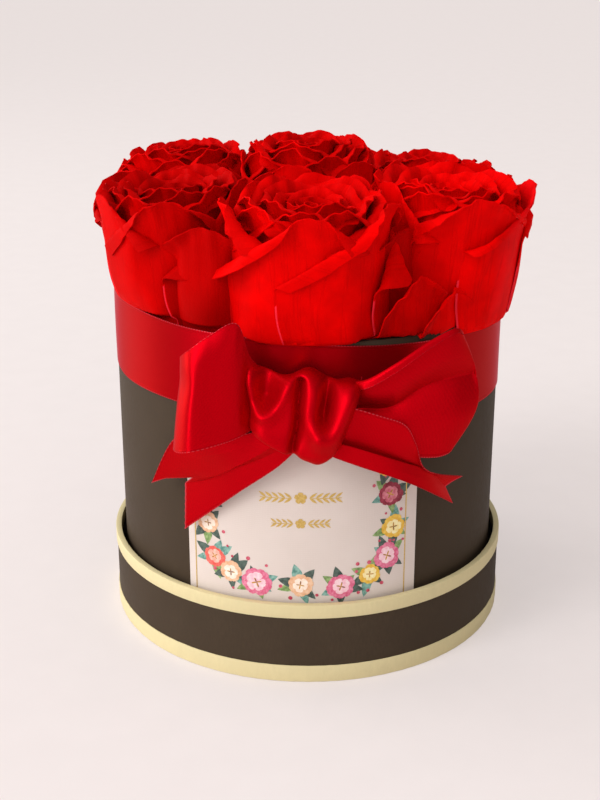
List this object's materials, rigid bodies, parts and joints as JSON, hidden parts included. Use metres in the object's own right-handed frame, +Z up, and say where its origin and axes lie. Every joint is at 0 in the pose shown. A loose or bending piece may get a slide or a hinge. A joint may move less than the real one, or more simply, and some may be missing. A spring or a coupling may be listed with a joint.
{
  "type": "flower box",
  "caption": "Round covered-board flower box standing in its turned-over lid, filled with roses in foam, with a satin ribbon band, a bow and a front label.",
  "frame": {"origin": "centre of the flat face under the turned-over lid, which meets the table", "axes": "+Z up along the axis of the box, -Y towards the front with the label and bow, +X to the right seen from the front"},
  "size_m": [0.1665, 0.1845, 0.1898],
  "materials": {
    "grey_board": "matte",
    "dark_paper": "matte",
    "cream_edging": "matte",
    "lining_paper": "matte",
    "label_card": "satin",
    "satin_ribbon": "satin",
    "glue": "satin",
    "floral_foam": "matte",
    "rose_petal": "matte",
    "rose_stem": "matte"
  },
  "bodies": {
    "lid": {"lid_panel": "grey_board", "lid_panel_paper": "dark_paper", "lid_wall": "grey_board", "lid_wall_paper": "dark_paper", "lid_rim_edging": "cream_edging", "lid_base_edging": "cream_edging"},
    "box": {"box_floor": "grey_board", "box_wall": "grey_board", "box_wall_paper": "dark_paper", "box_lining": "lining_paper", "label": "label_card", "ribbon_band": "satin_ribbon", "bow_glue_pad": "glue", "bow_knot": "satin_ribbon", "bow_loop_left": "satin_ribbon", "bow_loop_right": "satin_ribbon", "bow_tail_left": "satin_ribbon", "bow_tail_right": "satin_ribbon", "floral_foam": "floral_foam", "rose_bloom_center": "rose_petal", "rose_bloom_front": "rose_petal", "rose_bloom_front_right": "rose_petal", "rose_bloom_back_right": "rose_petal", "rose_bloom_back": "rose_petal", "rose_bloom_back_left": "rose_petal", "rose_bloom_front_left": "rose_petal", "rose_stem_center": "rose_stem", "rose_stem_front": "rose_stem", "rose_stem_front_right": "rose_stem", "rose_stem_back_right": "rose_stem", "rose_stem_back": "rose_stem", "rose_stem_back_left": "rose_stem", "rose_stem_front_left": "rose_stem"}
  },
  "joints": [
    {"name": "box_lift", "type": "slide", "parent": "lid", "child": "box", "axis": [0, 0, 1], "range_m": [0, 0.06]}
  ]
}
